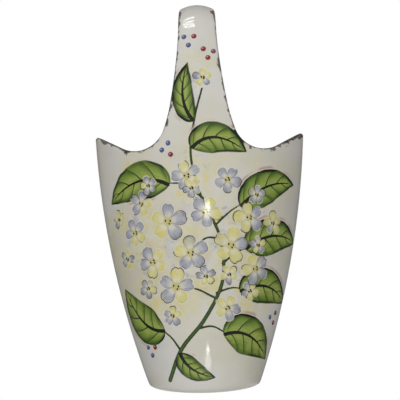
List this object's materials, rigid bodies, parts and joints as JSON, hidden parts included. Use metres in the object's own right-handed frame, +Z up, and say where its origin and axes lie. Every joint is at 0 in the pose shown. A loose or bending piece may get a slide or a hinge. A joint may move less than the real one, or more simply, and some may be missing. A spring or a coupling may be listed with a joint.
{
  "type": "hanging wall vase",
  "caption": "Flat-backed ceramic wall vase with a bowed front, a scalloped two-eared rim and a tall strap that arches back to a tongue with a nail hole.",
  "frame": {"origin": "centre of the nail hole on the back face, which lies on the wall", "axes": "+Z up, +Y into the wall, so the bowed front faces -Y, and +X to the right of someone who faces the front"},
  "size_m": [0.1942, 0.072, 0.352],
  "materials": {
    "painted_glaze": "glossy cream-white glaze with a hand-painted floral design",
    "plain_glaze": "glossy cream-white glaze",
    "foot_clay": "glossy glaze on the edge, wiped bare clay underneath"
  },
  "bodies": {
    "root": {"front_wall": "painted_glaze", "back_wall": "plain_glaze", "floor": "foot_clay", "handle_strap": "painted_glaze"}
  },
  "joints": []
}
